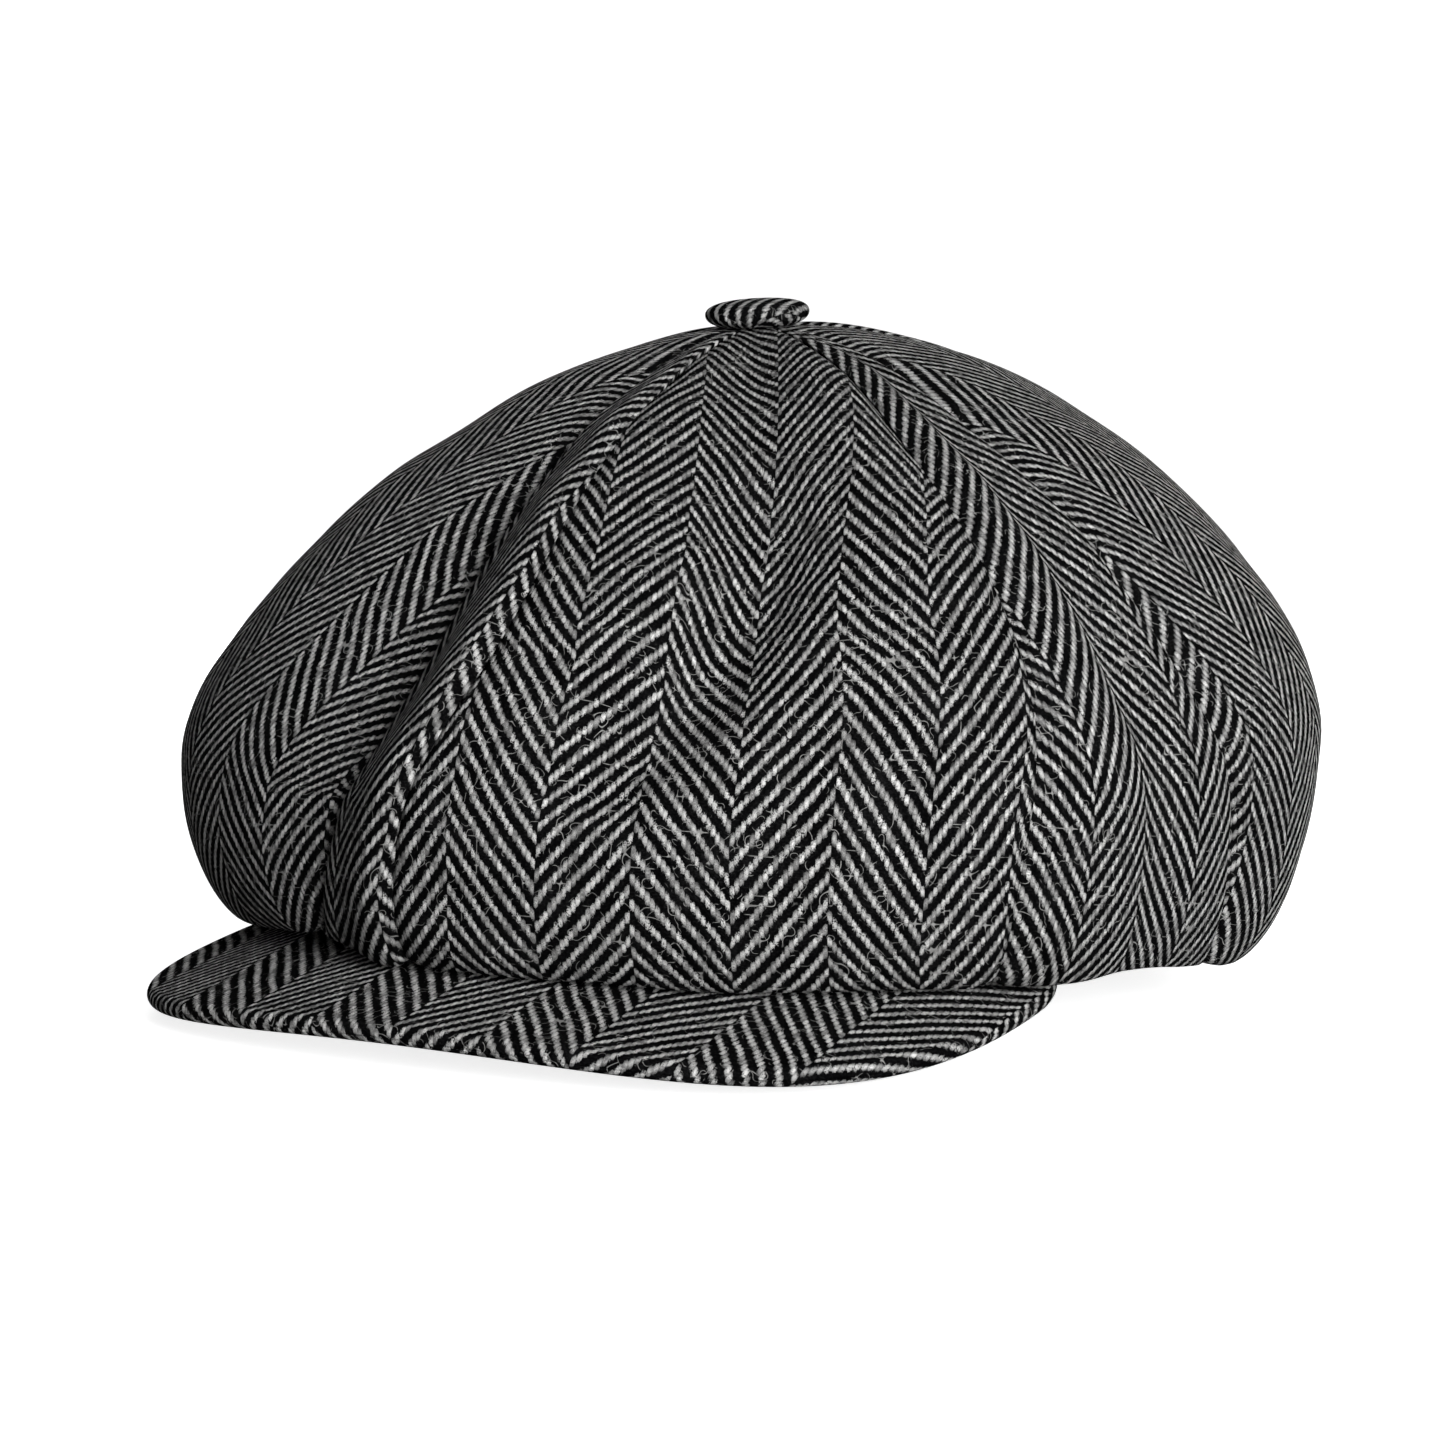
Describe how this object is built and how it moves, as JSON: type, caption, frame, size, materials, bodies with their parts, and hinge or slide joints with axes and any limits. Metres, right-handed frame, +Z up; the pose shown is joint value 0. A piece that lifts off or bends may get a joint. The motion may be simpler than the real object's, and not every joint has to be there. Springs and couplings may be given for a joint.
{
  "type": "newsboy cap",
  "caption": "Full-crowned newsboy cap in herringbone tweed: sewn gores over a lining and headband, a stiff curved peak and a cloth-covered top button.",
  "frame": {"origin": "centre of the head opening at the headband's lower edge", "axes": "+Z up, the peak points along -Y, +X is the wearer's left"},
  "size_m": [0.256, 0.2855, 0.1559],
  "materials": {
    "tweed": "black and off-white herringbone wool tweed, soft nap, no gloss",
    "lining": "black satin-woven lining with a soft sheen",
    "sweatband": "black ribbed cotton band",
    "band_tape": "off-white woven stiffening tape",
    "board": "matt black moulded sheet",
    "steel": "plain pressed steel"
  },
  "bodies": {
    "cap": {"crown_panel_front_left": "tweed", "crown_panel_left_front": "tweed", "crown_panel_left_rear": "tweed", "crown_panel_rear_left": "tweed", "crown_panel_rear_right": "tweed", "crown_panel_right_rear": "tweed", "crown_panel_right_front": "tweed", "crown_panel_front_right": "tweed", "lining_panel_front_left": "lining", "lining_panel_left_front": "lining", "lining_panel_left_rear": "lining", "lining_panel_rear_left": "lining", "lining_panel_rear_right": "lining", "lining_panel_right_rear": "lining", "lining_panel_right_front": "lining", "lining_panel_front_right": "lining", "sweatband": "sweatband", "headband_stiffener": "band_tape", "outer_headband": "tweed", "crown_apex_stay": "band_tape"},
    "peak": {"peak_upper_cover": "tweed", "peak_board": "board", "peak_lower_cover": "tweed"},
    "button": {"button_cover": "tweed", "button_shell": "steel", "button_back_plate": "steel", "button_shank": "steel", "button_washer": "steel"}
  },
  "joints": [
    {"name": "peak_flex", "type": "hinge", "parent": "cap", "child": "peak", "pos_m": [0, -0.028, 0], "axis": [1, 0, 0], "range_deg": [0, 4], "stiffness_Nm_per_rad": 3},
    {"name": "button_spin", "type": "hinge", "parent": "cap", "child": "button", "pos_m": [0, 0, 0.1315], "axis": [0, -0.158, 0.9874], "continuous": true}
  ]
}
